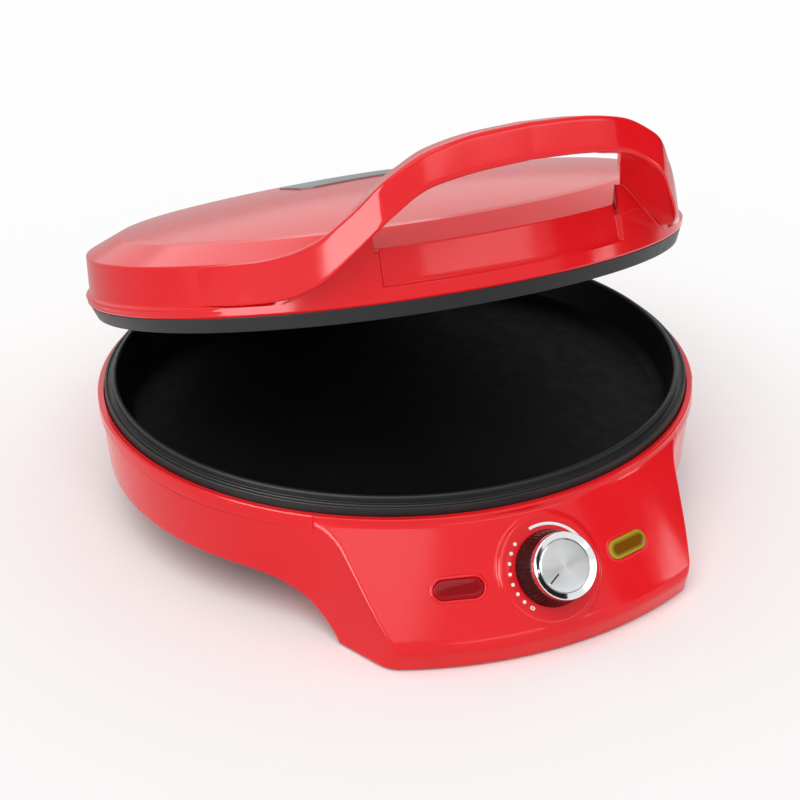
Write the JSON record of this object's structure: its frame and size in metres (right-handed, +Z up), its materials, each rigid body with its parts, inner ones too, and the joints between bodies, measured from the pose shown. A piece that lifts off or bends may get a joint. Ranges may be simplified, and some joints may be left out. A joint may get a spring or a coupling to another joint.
{
  "type": "electric pizza maker",
  "caption": "Round countertop pizza maker: drum base with front control pedestal, pan, dial and lamps; hinged domed lid with arch handle, standing ajar.",
  "frame": {"origin": "on the table, under the centre of the round pan", "axes": "+Z up, -Y towards the front with the dial, +X to the right seen from the front"},
  "size_m": [0.332, 0.4151, 0.2591],
  "materials": {
    "red_shell": "polished",
    "panel_red": "polished",
    "handle_red": "polished",
    "dark_plastic": "fine satin",
    "foot_rubber": "matte",
    "nonstick": "dark satin non-stick coating on cast aluminium",
    "element_steel": "dull",
    "bright_sheet": "bright sheet",
    "zinc_steel": "zinc plated",
    "ceramic_white": "matte",
    "print_white": "printed",
    "skirt_red": "translucent dark red",
    "knob_metal": "bright ring",
    "knob_face": "spun",
    "pointer_black": "printed",
    "lens_red": "clear tinted",
    "lens_amber": "clear tinted",
    "hinge_metal": "satin",
    "badge_grey": "fine brushed",
    "wire_sleeve": "woven glass sleeve"
  },
  "bodies": {
    "base": {"base_shell": "red_shell", "front_housing": "panel_red", "bottom_cover": "dark_plastic", "cover_screws": "zinc_steel", "rubber_feet": "foot_rubber", "lower_plate": "nonstick", "lower_element": "element_steel", "lower_clamps": "zinc_steel", "lower_clamp_screws": "zinc_steel", "lower_reflector": "bright_sheet", "lower_shield_screws": "zinc_steel", "thermostat": "zinc_steel", "thermal_fuse": "ceramic_white", "terminal_block": "ceramic_white", "wiring": "wire_sleeve", "dial_marks": "print_white", "power_lens": "lens_red", "ready_lens": "lens_amber", "lamp_holders": "ceramic_white", "cord_gland": "dark_plastic", "hinge_pin": "zinc_steel", "hinge_washers": "zinc_steel"},
    "lid": {"hinge_arms": "hinge_metal", "hinge_screws": "zinc_steel", "lid_shell": "red_shell", "lid_badge": "badge_grey", "upper_plate": "nonstick", "upper_element": "element_steel", "upper_clamps": "zinc_steel", "upper_clamp_screws": "zinc_steel", "upper_reflector": "bright_sheet", "upper_shield_screws": "zinc_steel", "plate_screws": "zinc_steel", "handle_outer": "handle_red", "handle_inner": "handle_red", "handle_screws": "zinc_steel"},
    "knob": {"control_shaft": "zinc_steel", "knob_skirt": "skirt_red", "knob_ring": "knob_metal", "knob_cap": "knob_face", "knob_pointer": "pointer_black"}
  },
  "joints": [
    {"name": "lid_hinge", "type": "hinge", "parent": "base", "child": "lid", "pos_m": [0, 0.1766, 0.064], "axis": [-1, 0, 0], "range_deg": [-16.77, 78]},
    {"name": "knob_turn", "type": "hinge", "parent": "base", "child": "knob", "pos_m": [0, -0.1829, 0.0393], "axis": [0, 0.8254, -0.5646], "range_deg": [-14, 255]}
  ]
}
